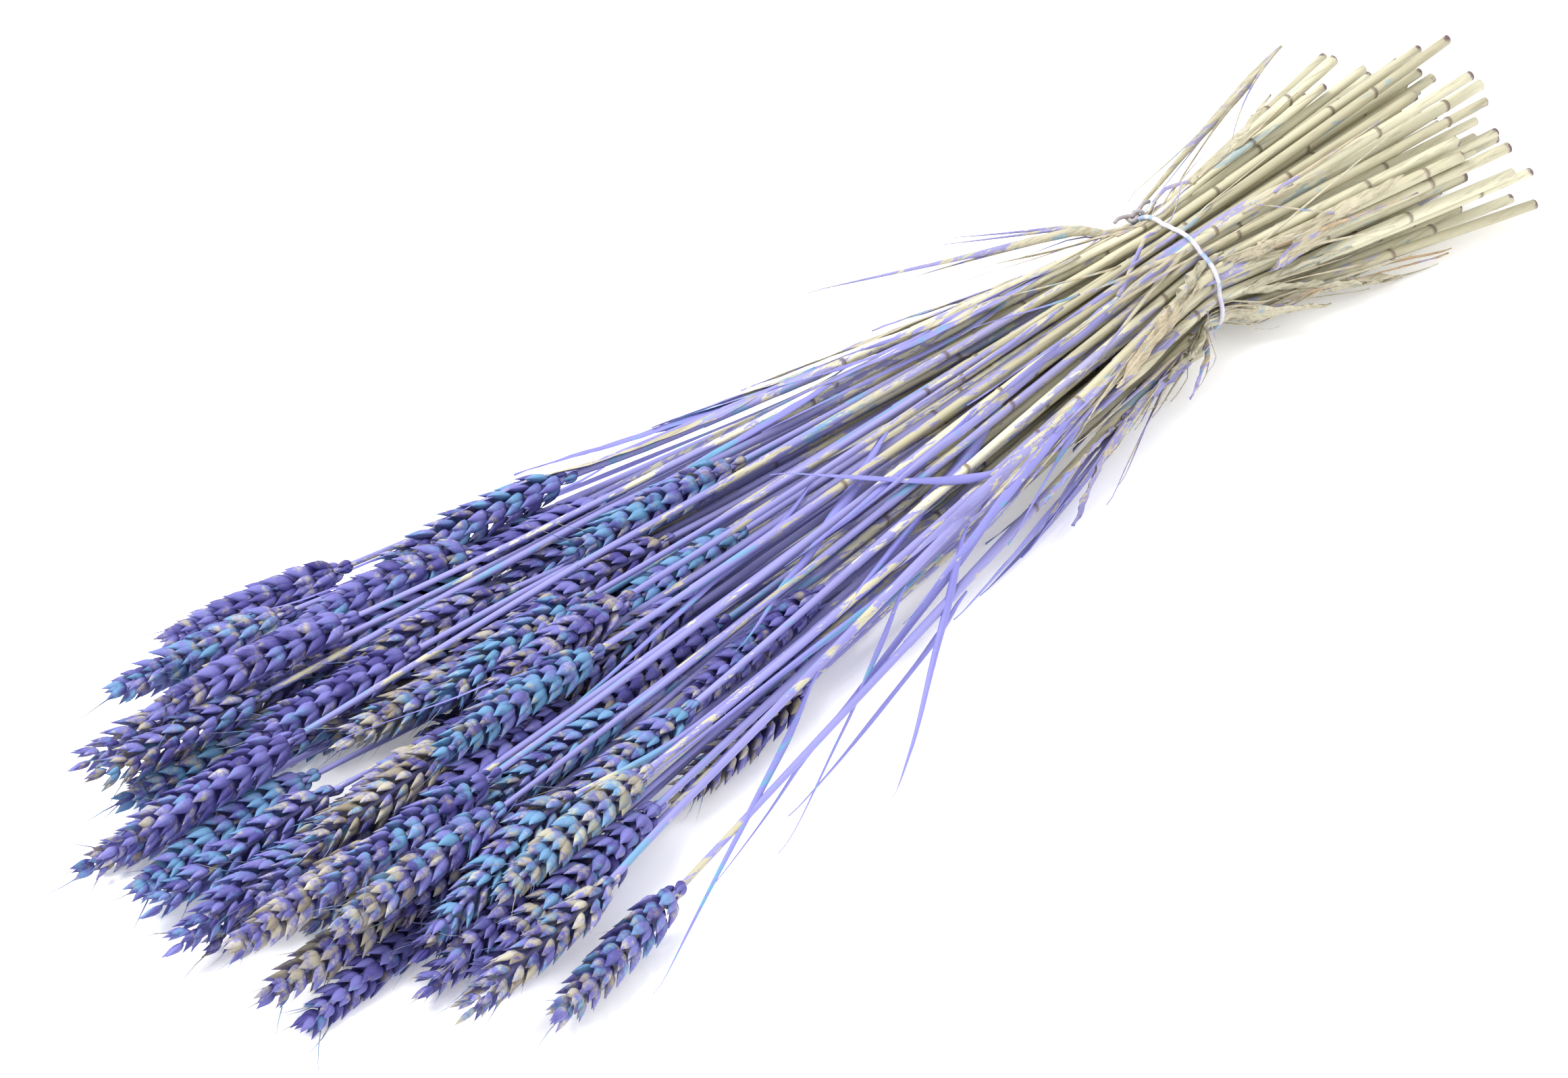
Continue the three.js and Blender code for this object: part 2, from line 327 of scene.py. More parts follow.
def sweep(bm, sections, sides):
    """Runs a closed ring through the given section matrices, and caps both ends."""
    made = bmesh.ops.create_circle(
        bm, cap_ends=True, segments=sides, radius=1, matrix=sections[0]
    )
    ring = made["verts"]
    edges = list({edge for v in ring for edge in v.link_edges})
    rings = [ring]
    for before, after in zip(sections, sections[1:]):
        grown = bmesh.ops.extrude_edge_only(bm, edges=edges)["geom"]
        ring = [g for g in grown if isinstance(g, bmesh.types.BMVert)]
        new = set(ring)
        edges = list({e for v in ring for e in v.link_edges if new.issuperset(e.verts)})
        bmesh.ops.transform(bm, matrix=after @ before.inverted(), verts=ring)
        rings.append(ring)
    bmesh.ops.contextual_create(bm, geom=edges)
    return rings


def reshape(rings, sections, shape):
    """Moves each ring's points to where shape puts their place within the section."""
    for k, (ring, section) in enumerate(zip(rings, sections)):
        back = section.inverted()
        for v in ring:
            v.co = section @ shape(k, back @ v.co)


def rolled(bm, rings, sections):
    """For each vertex of a sweep, how far around its ring it lies, and its ring's number."""
    bm.verts.index_update()
    found = []
    for k, (ring, section) in enumerate(zip(rings, sections)):
        back = section.inverted()
        for v in ring:
            p = back @ v.co
            found.append((v.index, math.atan2(p.y, p.x) / (2 * math.pi) % 1, k))
    return np.array(sorted(found))[:, 1:]


class Place:
    """A rectangle of a piece's map, in which one tube lies flat in rows."""

    def __init__(self, left, bottom, width, height, rows, steps, sides):
        self.numbers = (left, bottom, width, height, rows, math.ceil(steps / rows), sides)


def roll_out(mesh, tubes):
    """Gives a piece a map on which its tubes lie flat, each in its own place.

    tubes holds each tube's rolled numbers and its place, in the order of the mesh's vertices.
    """
    rolls = np.concatenate([roll for roll, _ in tubes])
    numbers = np.repeat([place.numbers for _, place in tubes], [len(r) for r, _ in tubes], axis=0)
    vertex = np.empty(len(mesh.loops), np.int32)
    mesh.loops.foreach_get("vertex_index", vertex)
    start = np.empty(len(mesh.polygons), np.int32)
    mesh.polygons.foreach_get("loop_start", start)
    face = np.repeat(np.arange(len(start)), np.diff(np.append(start, len(vertex))))
    around, step = rolls[vertex].T
    left, bottom, width, height, rows, per_row, sides = numbers[vertex].T
    lowest, highest = (f.reduceat(around, start)[face] for f in (np.minimum, np.maximum))
    around = around + ((highest - lowest > 0.5) & (around < 0.5))
    row = np.minimum(np.minimum.reduceat(step, start)[face] // per_row, rows - 1)
    across = MAP_EDGE + (1 - 2 * MAP_EDGE) * np.minimum(around / (1 + 1 / sides), 1)
    along = MAP_EDGE + (1 - 2 * MAP_EDGE) * np.clip((step - row * per_row) / per_row, 0, 1)
    flat = np.stack([left + width * along, bottom + height * (row + across) / rows], 1)
    layer = mesh.uv_layers.new(name="OFBake", do_init=False)
    layer.uv.foreach_set("vector", flat.astype(np.float32).ravel())


def new_piece(name, bm, materials, nodes=()):
    """Turns a bmesh into a piece that rides on the bunch, with its place in its mesh.

    What would reach below the table is pressed flat on it.
    """
    for v in bm.verts:
        if v.co.z < TABLE_GAP:
            v.co.z = TABLE_GAP + 0.02 * (v.co.z - TABLE_GAP)
    mesh = bpy.data.meshes.new(name)
    bmesh.ops.recalc_face_normals(bm, faces=bm.faces)
    bm.to_mesh(mesh)
    bm.free()
    for material in materials:
        mesh.materials.append(material)
    mesh.shade_smooth()
    piece = bpy.data.objects.new(name, mesh)
    bpy.context.scene.collection.objects.link(piece)
    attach(piece, BODY)
    if nodes:
        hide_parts(*nodes)
    return piece


def set_number(mesh, name, values):
    """Stores one number for each vertex, or the same number for all of them."""
    attribute = mesh.attributes.new(name, "FLOAT", "POINT")
    values = np.broadcast_to(np.asarray(values, np.float32), len(mesh.vertices))
    attribute.data.foreach_set("value", values)


# ---- Materials ----


def screen(red, green, blue):
    """A colour given in screen values from 0 to 255, as light."""
    return tuple(
        c / 255 / 12.92 if c <= 10 else ((c / 255 + 0.055) / 1.055) ** 2.4
        for c in (red, green, blue)
    )


# What the straws, husks, leaves and string wear besides the colours of the settings; the third husk
# colour is not worn but painted shade, a deep violet laid on the husks' bases where they nest in
# each other.
STREAK, JOINT_BROWN, CUT_BROWN = screen(140, 130, 108), screen(92, 74, 62), screen(92, 58, 78)
PALE_HUSK, DARK_HUSK, HUSK_BASE_SHADE = screen(196, 190, 156), screen(140, 130, 98), screen(70, 52, 128)
PALE_LEAF, DULL_LEAF = screen(212, 207, 184), screen(158, 151, 128)
LEAF_BROWN, LEAF_RIB = screen(178, 136, 92), screen(124, 114, 92)
STRING_STAIN, STRING_GRIME = screen(168, 156, 222), screen(140, 128, 122)


class Socket:
    """Wraps an output socket, so that shader maths can be written as an expression."""

    def __init__(self, tree, output):
        self.tree = tree
        self.output = output

    def maths(self, operation, *inputs):
        return self.tree.node("ShaderNodeMath", {"operation": operation}, dict(enumerate(inputs)))

    def __add__(self, other):
        return self.maths("ADD", self, other)

    __radd__ = __add__

    def __mul__(self, other):
        return self.maths("MULTIPLY", self, other)

    __rmul__ = __mul__

    def __sub__(self, other):
        return self.maths("SUBTRACT", self, other)

    def __rsub__(self, other):
        return self.maths("SUBTRACT", other, self)


class Shader:
    """A material whose nodes are made by one method."""

    def __init__(self, name, roughness, **constants):
        self.material = bpy.data.materials.new(name)
        self.material.use_nodes = True
        self.nodes = self.material.node_tree.nodes
        self.links = self.material.node_tree.links
        self.principled = self.nodes["Principled BSDF"]
        self.principled.inputs["Roughness"].default_value = roughness
        for socket, value in constants.items():
            self.principled.inputs[socket.replace("_", " ")].default_value = value

    def node(self, kind, settings=None, inputs=None, output=0):
        """Makes a node: its settings first, then the values or links of its sockets."""
        node = self.nodes.new(kind)
        for key, value in (settings or {}).items():
            setattr(node, key, value)
        for key, value in (inputs or {}).items():
            self.feed(node.inputs[key], value)
        return Socket(self, node.outputs[output])

    def feed(self, socket, value):
        if isinstance(value, Socket):
            self.links.new(value.output, socket)
        else:
            socket.default_value = value

    def spot(self):
        """Object coordinates."""
        return self.node("ShaderNodeTexCoord", output="Object")

    def number(self, name):
        return self.node("ShaderNodeAttribute", {"attribute_name": name}, output="Fac")

    def noise(self, scale, stretch=(1, 1, 1), detail=2.0, shift=0.0, roughness=0.5):
        """Noise in object coordinates, stretched along each axis, different for each shift."""
        place = self.node("ShaderNodeMapping", inputs={"Vector": self.spot(), "Scale": stretch})
        sockets = {"Vector": place, "W": shift, "Scale": scale}
        sockets |= {"Detail": detail, "Roughness": roughness}
        return self.node("ShaderNodeTexNoise", {"noise_dimensions": "4D"}, sockets, "Fac")

    def band(self, value, low, high):
        """0 below low, 1 above high, smooth between."""
        sockets = {"Value": value, "From Min": low, "From Max": high}
        return self.node("ShaderNodeMapRange", {"interpolation_type": "SMOOTHSTEP"}, sockets)

    def mix(self, factor, below, above):
        """The first colour where the factor is 0, and the second where it is 1."""
        below, above = ((*c, 1) if isinstance(c, tuple) else c for c in (below, above))
        sockets = {"Factor": factor, 6: below, 7: above}
        return self.node("ShaderNodeMix", {"data_type": "RGBA"}, sockets, 2)

    def finish(self, colour, height, distance, strength=0.5):
        """Feeds the colour, and a bump of the given distance from a height."""
        self.feed(self.principled.inputs["Base Color"], colour)
        bump = self.node(
            "ShaderNodeBump",
            inputs={"Height": height, "Distance": distance, "Strength": strength},
            output="Normal",
        )
        self.feed(self.principled.inputs["Normal"], bump)
        return self.material


def dyed(shader, seed, undyed, taken):
    """Undyed colour with violet and sky-blue dye in long patches with sharp edges.

    taken says how far the dye took: 0 at the cut ends and 1 at the ears.
    """
    s = bpy.context.scene.wheat
    depth = shader.noise(30, (0.5, 1, 1), 2, seed * 7)
    tone = shader.mix(depth, tuple(s.lavender), tuple(s.violet))
    patches = shader.noise(210, (0.16, 1, 1), 5, seed * 17, 0.68)
    broad = shader.noise(18, (0.6, 1, 1), 1, seed * 29)
    violet = shader.band(patches + 0.27 * taken + 0.45 * broad, 0.9, 0.92)
    colour = shader.mix(violet * (0.5 + 0.42 * taken), undyed, tone)
    streaks = shader.noise(230, (0.12, 1, 1), 5, seed * 23 + 40, 0.68)
    where = shader.noise(20, (0.5, 1, 1), 1, seed * 11 + 9)
    sky = shader.band(streaks + 0.04 * taken + 0.5 * where, 0.89, 0.93)
    return shader.mix(sky * (0.5 + 0.3 * taken), colour, tuple(s.sky))


def dye_taken(shader):
    """0 at the cut ends and 1 at the ears."""
    x = shader.node("ShaderNodeSeparateXYZ", inputs={0: shader.spot()}, output="X")
    return shader.band(STRING_X - x, -0.13, 0.3)


def straw_material():
    s = bpy.context.scene.wheat
    shader = Shader("dyed_straw", 0.5, Specular_IOR_Level=0.4)
    seed = shader.number("seed")
    grain = shader.noise(700, (0.02, 1, 1), 2, seed * 5)
    blotches = shader.noise(40, (0.35, 1, 1), 3, seed * 31)
    pale = shader.mix(shader.number("tone"), tuple(s.straw), tuple(s.dull_straw))
    undyed = shader.mix(shader.band(blotches, 0.35, 0.75) * 0.5, pale, tuple(s.dull_straw))
    streaks = shader.noise(620, (0.012, 1, 1), 3, seed * 8 + 2, 0.6)
    undyed = shader.mix(shader.band(streaks, 0.5, 0.68) * 0.5, undyed, STREAK)
    colour = dyed(shader, seed, undyed, dye_taken(shader))
    colour = shader.mix(shader.number("knot") * 0.8, colour, JOINT_BROWN)
    edge = shader.number("cut") + 0.8 * shader.noise(260, detail=3, shift=seed)
    colour = shader.mix(shader.band(edge, 0.85, 1.0) * 0.85, colour, CUT_BROWN)
    return shader.finish(colour, grain, 0.0002)


def husk_material():
    s = bpy.context.scene.wheat
    shader = Shader("dyed_husk", 0.58, Specular_IOR_Level=0.35)
    seed, shade, sky, bare = (shader.number(n) for n in ("seed", "shade", "sky", "bare"))
    grain = shader.noise(1300, (0.15, 1, 1), 2, seed)
    mottle = shader.noise(110, detail=3, shift=seed * 3, roughness=0.6)
    depth = shader.band(shade * 0.7 + mottle, 0.55, 1.3)
    violet = shader.mix(depth, tuple(s.violet), tuple(s.deep))
    patches = shader.noise(120, detail=4, shift=seed * 7 + 20, roughness=0.65)
    colour = shader.mix(shader.band(patches + sky, 0.88, 1.1) * 0.75, violet, tuple(s.sky))
    specks = shader.noise(170, detail=4, shift=seed * 13 + 5, roughness=0.66)
    straw = shader.mix(shade, PALE_HUSK, DARK_HUSK)
    colour = shader.mix(shader.band(specks + bare, 0.93, 1.12) * 0.8, colour, straw)
    # Painted shade: a deep violet darkens each husk's base, where the husks nest in each other and
    # shade falls.
    painted_base_shade = shader.band(shader.number("grow"), 0.35, 0.0)
    colour = shader.mix(painted_base_shade * 0.62, colour, HUSK_BASE_SHADE)
    return shader.finish(colour, grain, 0.0003)


def leaf_material():
    shader = Shader("dry_leaf", 0.6, Specular_IOR_Level=0.3)
    seed = shader.number("seed")
    ribs = shader.noise(1100, (0.03, 1, 1), 2, seed)
    blotches = shader.noise(45, (0.4, 1, 1), 3, seed * 3)
    undyed = shader.mix(blotches, PALE_LEAF, DULL_LEAF)
    undyed = shader.mix(shader.number("brown") * 0.7, undyed, LEAF_BROWN)
    undyed = shader.mix(shader.band(ribs, 0.42, 0.7) * 0.5, undyed, LEAF_RIB)
    taken = dye_taken(shader) + shader.number("dye")
    return shader.finish(dyed(shader, seed, undyed, taken), ribs, 0.0003)


def string_material():
    s = bpy.context.scene.wheat
    shader = Shader("string", 0.75)
    stain = shader.band(shader.noise(70, detail=3), 0.5, 0.6)
    colour = shader.mix(stain * 0.5, tuple(s.string), STRING_STAIN)
    drop = shader.band(shader.noise(90, detail=2, shift=4.0), 0.6, 0.64)
    colour = shader.mix(drop * 0.6, colour, tuple(s.sky))
    colour = shader.mix(shader.number("grime") * 0.7, colour, STRING_GRIME)
    return shader.finish(colour, shader.noise(2500), 0.0002)


# ---- Straws ----


STRAW_SHARE = 0.35  # of a stalk's map
STRAW_ROWS = 6  # on that share
# A joint's rings: offset from its middle and swelling, in millimetres.
JOINT = ((-2.4, 0), (-1.5, -0.12), (-0.7, 0.34), (0.5, 0.34), (1.3, 0.02), (2.6, 0.1))
SHEATH_SWELL, SHEATH_EDGE_SWELL = 0.22, 0.26
# The cut end's inside and rim: distance from the cut and share of the straw's radius.
CUT_END = ((7, 0.5), (0.3, 0.66), (0, 0.82), (0.2, 0.97))


def knots_of(stalk):
    """Where the straw's joints are, measured from the string."""
    rise = [lerp(12, 85, chance(stalk.number, 21))]
    rise.append(rise[-1] + lerp(75, 125, chance(stalk.number, 22)))
    rise.append(rise[-1] + lerp(110, 170, chance(stalk.number, 23)))
    return [stalk.cut + r for r in rise if stalk.cut + r < stalk.ear_base - 60]


def straw_rings(stalk, knots):
    """Distances and swellings of the straw's outside, with its joints and sheath ends."""
    s = bpy.context.scene.wheat
    end = stalk.tip - 0.1 * stalk.ear_length
    rings = {float(t): 0.0 for t in np.arange(stalk.cut + 9, end, s.ring_step)}
    for k, knot in enumerate(knots):
        rings = {t: swell for t, swell in rings.items() if abs(t - knot) > 4}
        rings |= {knot + offset: swell for offset, swell in JOINT}
        length = lerp(45, 105, chance(stalk.number, 31 + k))
        limit = knots[k + 1] - 8 if k + 1 < len(knots) else end - 30
        edge = min(knot + length, limit)
        rings = {t: swell + SHEATH_SWELL * (knot + 3 < t < edge) for t, swell in rings.items()}
        rings = {t: swell for t, swell in rings.items() if abs(t - edge) > 1.5}
        rings |= {edge - 0.5: SHEATH_EDGE_SWELL, edge + 0.3: 0.0}
    return sorted(rings.items())


def add_straw(bm, stalk):
    """A hollow straw from its cut end to within the ear. Returns its tube and its numbers."""
    s = bpy.context.scene.wheat
    knots = knots_of(stalk)
    wall = stalk.straw_radius(stalk.cut)
    profile = [(stalk.cut + deep, share * wall) for deep, share in CUT_END]
    rings = straw_rings(stalk, knots)
    profile += [(t, float(stalk.straw_radius(t)) + swell) for t, swell in rings]
    squash = lerp(0.84, 1.0, chance(stalk.number, 41))
    turn = math.pi * chance(stalk.number, 42)
    sections = []
    for t, radius in profile:
        side, up, along = stalk.axes(t)
        wide = side * math.cos(turn) + up * math.sin(turn)
        axes = (wide, along.cross(wide), along)
        sections.append(placed(axes, stalk.middle(t), (radius * MM, radius * squash * MM, MM)))
    rings = sweep(bm, sections, s.straw_sides)
    place = Place(0, 0, 1, STRAW_SHARE, STRAW_ROWS, len(sections) - 1, s.straw_sides)
    tube = (rolled(bm, rings, sections), place)
    t = (STRING_X - np.array([v.co.x for v in bm.verts])) / MM
    near = np.min([np.abs(t - knot) for knot in knots], axis=0)
    stain = lerp(-1, 5, chance(stalk.number, 52))
    return tube, {
        "seed": np.full(len(t), chance(stalk.number, 51)),
        "tone": np.full(len(t), chance(stalk.number, 53) ** 1.4),
        "knot": np.clip(1.6 - near / 0.9, 0, 1),
        "cut": np.clip(1 - (t - stalk.cut - stain) / 4, 0, 1) * 0.6,
    }


# ---- Ears ----

HUSK_SIDES = 8
AWN_SIDES = 3
AWN_RINGS = (0, 0.33, 0.67, 1)  # along an awn
AWN_GIRTH = (0.011, 0.0015)  # at its base and tip, as a share of its length
HUSK_COLUMNS = 12  # husks side by side on a stalk's map
# Along a husk from its base to its tip, the share of its full width.
HUSK_OUTLINE = (
    (0.0, 0.22), (0.12, 0.7), (0.3, 1.0), (0.5, 0.96), (0.7, 0.66), (0.87, 0.3), (1.0, 0.04),
)


def husk_template(name, bend, width, depth, beak):
    """A husk one unit long: a boat-shaped scale with a keel on its back and a beak at its tip."""
    sections = []
    for along, girth in HUSK_OUTLINE:
        size = (width * girth / 2, depth * girth / 2, 1, 1)
        place = Matrix.Translation((0, bend * along**2, along * (1 + beak * along**4)))
        sections.append(place @ Matrix.Rotation(-2 * bend * along, 4, "X") @ Matrix.Diagonal(size))

    def keeled(_, p):
        """The inner face is flatter, and the back has a keel."""
        stretch = 0.45 if p.y < 0 else 1.15 if abs(p.x) < 0.1 else 1
        return Vector((p.x, p.y * stretch, p.z))

    bm = bmesh.new()
    rings = sweep(bm, sections, HUSK_SIDES)
    roll = rolled(bm, rings, sections)
    reshape(rings, sections, keeled)
    return template_mesh(name, bm), roll


def template_mesh(name, bm):
    """A mesh whose faces wear a stalk's second material."""
    for face in bm.faces:
        face.material_index = 1
    bmesh.ops.recalc_face_normals(bm, faces=bm.faces)
    mesh = bpy.data.meshes.new(name)
    bm.to_mesh(mesh)
    bm.free()
    return mesh


def awn_template():
    """A fine hair one unit long, a little curved, that ends in a point."""
    sections = []
    for share in AWN_RINGS:
        girth = lerp(*AWN_GIRTH, share)
        place = Matrix.Translation((0, -0.12 * share**2, share))
        sections.append(place @ Matrix.Diagonal((girth, girth, 1, 1)))
    bm = bmesh.new()
    rings = sweep(bm, sections, AWN_SIDES)
    roll = rolled(bm, rings, sections)
    return template_mesh("awn", bm), roll


def husk_templates():
    return {
        "glume": husk_template("glume", -0.09, 0.5, 0.36, 0.0),
        "lemma": husk_template("lemma", -0.05, 0.42, 0.33, 0.1),
        "top": husk_template("top", -0.04, 0.38, 0.3, 0.1),
        "awn": awn_template(),
    }


# Husks of a spikelet: kind, base offset across the fan and outwards, tilt across the fan and
# outwards in degrees, and size.
SPIKELET = (
    ("glume", -2.0, 1.3, -29, 14, 0.84),
    ("glume", 2.0, 1.3, 29, 14, 0.84),
    ("lemma", -1.35, 2.1, -17, 22, 1.0),
    ("lemma", 1.35, 2.1, 17, 22, 1.0),
    ("top", 0.0, 2.3, 0, 28, 0.93),
)


def add_husk(bm, template, matrix):
    start = len(bm.verts)
    bm.from_mesh(template)
    bm.verts.ensure_lookup_table()
    bmesh.ops.transform(bm, matrix=matrix, verts=bm.verts[start:])


def add_ear(bm, stalk, templates):
    """Two ranks of spikelets on opposite sides of the straw, each a fan of husks, and awns.

    Returns its tubes and the numbers of its vertices.
    """
    s = bpy.context.scene.wheat
    draw = random.Random(stalk.number)
    straw_verts = len(bm.verts)
    kinds = []
    shades = []
    tips = []
    count = max(8, round(2 * stalk.ear_length / s.spikelet_pitch))
    pitch = (stalk.ear_length - 9.5) / count
    for k in range(count + 1):
        share = k / count
        last = k == count
        t = stalk.ear_base + 1 + k * pitch
        grown = 0.5 + 0.5 * float(smoothstep(share, -0.02, 0.16))
        opened = 0.35 + 0.65 * float(smoothstep(share, 0, 0.12))
        size = grown * (1 - 0.34 * float(smoothstep(share, 0.6, 1)))
        side, up, along = stalk.axes(t)
        fan = side * math.cos(stalk.roll) + up * math.sin(stalk.roll)
        rank = along.cross(fan) * (1 if k % 2 else -1)
        outward_turn = math.copysign(1, rank.cross(along).dot(fan))
        for kind, across, out, tilt_across, tilt_out, scale in SPIKELET:
            if (kind == "top" and share < 0.04) or (kind == "glume" and last):
                continue
            length = s.husk_length * size * scale * draw.uniform(0.93, 1.07)
            tilt_across *= 0.6 if last else opened
            tilt_out = (tilt_out + draw.uniform(-4, 5)) * (0.15 if last else opened)
            turn = Quaternion(fan, -outward_turn * math.radians(tilt_out))
            lean = fan * math.tan(math.radians(tilt_across + draw.uniform(-4, 4)))
            direction = (turn @ along + lean).normalized()
            spread = 0.55 * math.copysign(min(1, abs(tilt_across) / 15), tilt_across)
            cross = (rank + fan * spread).cross(direction).normalized()
            place = stalk.middle(t) + (fan * across + rank * out * 0.75) * size * MM
            axes = (cross, direction.cross(cross), direction)
            add_husk(bm, templates[kind][0], placed(axes, place, (length * MM,) * 3))
            kinds.append(kind)
            shades.append(draw.random())
            tips.append((share, place + direction * length * MM, direction))
    husk_verts = len(bm.verts) - straw_verts
    kinds += add_awns(bm, draw, tips, templates["awn"][0])
    awn_verts = len(bm.verts) - straw_verts - husk_verts
    leaning = np.array([draw.gauss(0, 1) for _ in shades])
    towards_tip = np.array([tip[0] for tip in tips]) - 0.5
    ear_sky = lerp(0.28, 0.52, chance(stalk.number, 62) ** 1.8)
    ear_bare = lerp(0.36, 0.54, chance(stalk.number, 63) ** 1.3)
    tip_bare = lerp(-0.1, 0.16, chance(stalk.number, 64))
    of_husks = {
        "shade": shades,
        "sky": ear_sky + 0.06 * leaning,
        "bare": ear_bare - 0.035 * leaning + tip_bare * towards_tip,
    }
    verts_each = husk_verts // len(shades)
    numbers = {
        name: np.pad(np.repeat(values, verts_each), (0, awn_verts), constant_values=0.5)
        for name, values in of_husks.items()
    }
    # grow runs from 0 at a husk's base to 1 at its tip; the husk material paints shade on the bases
    # from it, and the awns' 0.8 keeps them free of it.
    grow = np.tile(np.repeat([share for share, _ in HUSK_OUTLINE], HUSK_SIDES), len(shades))
    numbers["grow"] = np.pad(grow, (0, awn_verts), constant_values=0.8)
    numbers["seed"] = np.full(husk_verts + awn_verts, chance(stalk.number, 61))
    return husk_tubes(kinds, templates), numbers


def add_awns(bm, draw, tips, template):
    """Fine hairs on some of the husks' tips, most and longest near the ear's tip."""
    s = bpy.context.scene.wheat
    made = []
    for share, tip, direction in tips:
        if draw.random() < s.awn_share * (0.15 + 0.85 * share**3):
            length = draw.uniform(3, 8) if share < 0.8 else draw.uniform(6, 22)
            aside = direction.orthogonal()
            aside.rotate(Quaternion(direction, draw.uniform(0, 2 * math.pi)))
            axes = (aside, direction.cross(aside), direction)
            add_husk(bm, template, placed(axes, tip - direction * MM, (length * MM,) * 3))
            made.append("awn")
    return made


def husk_tubes(kinds, templates):
    """The husks and awns of an ear in columns and rows on the map, above the straw."""
    rows = math.ceil(len(kinds) / HUSK_COLUMNS)
    width, height = 1 / HUSK_COLUMNS, (1 - STRAW_SHARE) / rows
    tubes = []
    for k, kind in enumerate(kinds):
        left, bottom = k % HUSK_COLUMNS * width, STRAW_SHARE + k // HUSK_COLUMNS * height
        sides, rings = (AWN_SIDES, AWN_RINGS) if kind == "awn" else (HUSK_SIDES, HUSK_OUTLINE)
        place = Place(left, bottom, width, height, 1, len(rings) - 1, sides)
        tubes.append((templates[kind][1], place))
    return tubes


def make_stalk(stalk, materials, templates):
    """A stalk: its straw and its ear, grown as one piece."""
    bm = bmesh.new()
    tube, straw = add_straw(bm, stalk)
    tubes, ear = add_ear(bm, stalk, templates)
    name = f"stalk_{stalk.number:02d}"
    nodes = [stalk.node] if stalk.node else ()
    mesh = new_piece(name, bm, materials, nodes).data
    counts = len(straw["seed"]), len(ear["seed"])
    for number in sorted({*straw, *ear}):
        values = [part.get(number, np.zeros(n)) for part, n in zip((straw, ear), counts)]
        set_number(mesh, number, np.concatenate(values))
    roll_out(mesh, [tube, *tubes])


# ---- Leaves ----


LEAF_SIDES = 10
LEAF_ROWS = 3  # on a leaf's map
LEAF_THICKNESS = 0.35
SETTLE_ROUNDS = 40
LOWEST_LEAF = 0.8  # of a leaf's middle above the table
STRING_HOLD = 22.0  # how far from the string it presses a leaf down
SHORTEST_CUT = -(BUTT_LENGTH - BUTT_STAGGER)


class Course:
    """The course of a leaf: its places along t, in millimetres, and where its face looks."""

    def __init__(self, t, y, z, facing):
        self.t = np.asarray(t, float)
        self.y = np.array(y, float)
        self.z = np.array(z, float)
        self.facing = facing

    def settle(self, gap, weight=0.0):
        """Pushes the leaf off the stalks that it would cut through, lets it sink and rounds it.

        Its start stays where it is.
        """
        stalks = all_stalks()
        spots = np.array([s.at(self.t) for s in stalks])
        radius = np.array([s.reach(self.t) for s in stalks]) + gap
        present = np.array([(self.t > s.cut) & (self.t < s.tip) for s in stalks])
        place = np.stack([self.y, self.z])
        start = place[:, 0].copy()
        for _ in range(SETTLE_ROUNDS):
            place[1] -= weight
            away = place - spots
            far = np.sqrt((away**2).sum(1)) + 1e-6
            lap = np.clip(radius - far, 0, None) * present
            push = (away / far[:, None] * lap[:, None]).sum(0)
            place += 0.7 * push / np.maximum(1, (lap > 0).sum(0))
            place[:, 1:-1] += 0.3 * ((place[:, :-2] + place[:, 2:]) / 2 - place[:, 1:-1])
            place[:, 0] = start
            place[1] = np.maximum(place[1], LOWEST_LEAF)
        self.y, self.z = (smoothed(smoothed(values)) for values in place)
        self.pass_under_string()

    def beside(self, share, aside, above):
        """A shorter course from the same start, which ends so far aside and above."""
        count = max(6, round(share * len(self.t)))
        away = (np.arange(count) / count) ** 2.1
        y = self.y[:count] + aside * away
        z = np.maximum(self.z[:count] + above * away, LOWEST_LEAF)
        return Course(self.t[:count], y, z, self.facing)

    def pass_under_string(self):
        """Presses the leaf onto the waist where the string holds it."""
        for k in np.flatnonzero(np.abs(self.t) < STRING_HOLD):
            centre = waist_centre()
            offset = np.array([self.y[k], self.z[k]]) - centre
            reach = np.linalg.norm(offset)
            limit = waist_reach(math.atan2(offset[1], offset[0])) - 0.2
            ease = float(smoothstep(abs(self.t[k]), 5, STRING_HOLD))
            if reach > limit:
                offset *= lerp(limit / reach, 1, ease)
                self.y[k], self.z[k] = centre + offset

    def sections(self, width, twist, wave, seed):
        """Section matrices along the leaf: its half widths come from a share along it."""
        draw = random.Random(seed)
        phase, pitch = draw.uniform(0, 6), draw.uniform(9, 16)
        points = [
            Vector((STRING_X - t * MM, y * MM, z * MM)) for t, y, z in zip(self.t, self.y, self.z)
        ]
        made = []
        last = len(points) - 1
        for k, point in enumerate(points):
            share = k / last
            along = (points[min(k + 1, last)] - points[max(k - 1, 0)]).normalized()
            turn = Quaternion(along, twist * share + wave * math.sin(phase + pitch * share))
            side = turn @ along.cross(self.facing).normalized()
            size = (max(width(share), 0.15) * MM, LEAF_THICKNESS * MM / 2, MM)
            made.append(placed((side, along.cross(side), along), point, size))
        return made


def blade_width(half_width, blunt=0.25):
    """Half widths of a long leaf: narrow where it starts, widest early, with a long point."""
    return lambda share: half_width * min(1, blunt + 4 * share) * (1 - share**1.6)


def torn_width(half_width, seed):
    """Half widths of a torn sheath: ragged, with a forked, uneven end."""
    draw = random.Random(seed)
    rag = np.array([draw.uniform(0.6, 1.1) for _ in range(9)])
    places = np.linspace(0, 1, len(rag))

    def width(share):
        ragged = float(np.interp(share, places, rag))
        return half_width * ragged * (1 - share**4) * (0.75 + share * 0.45)

    return width


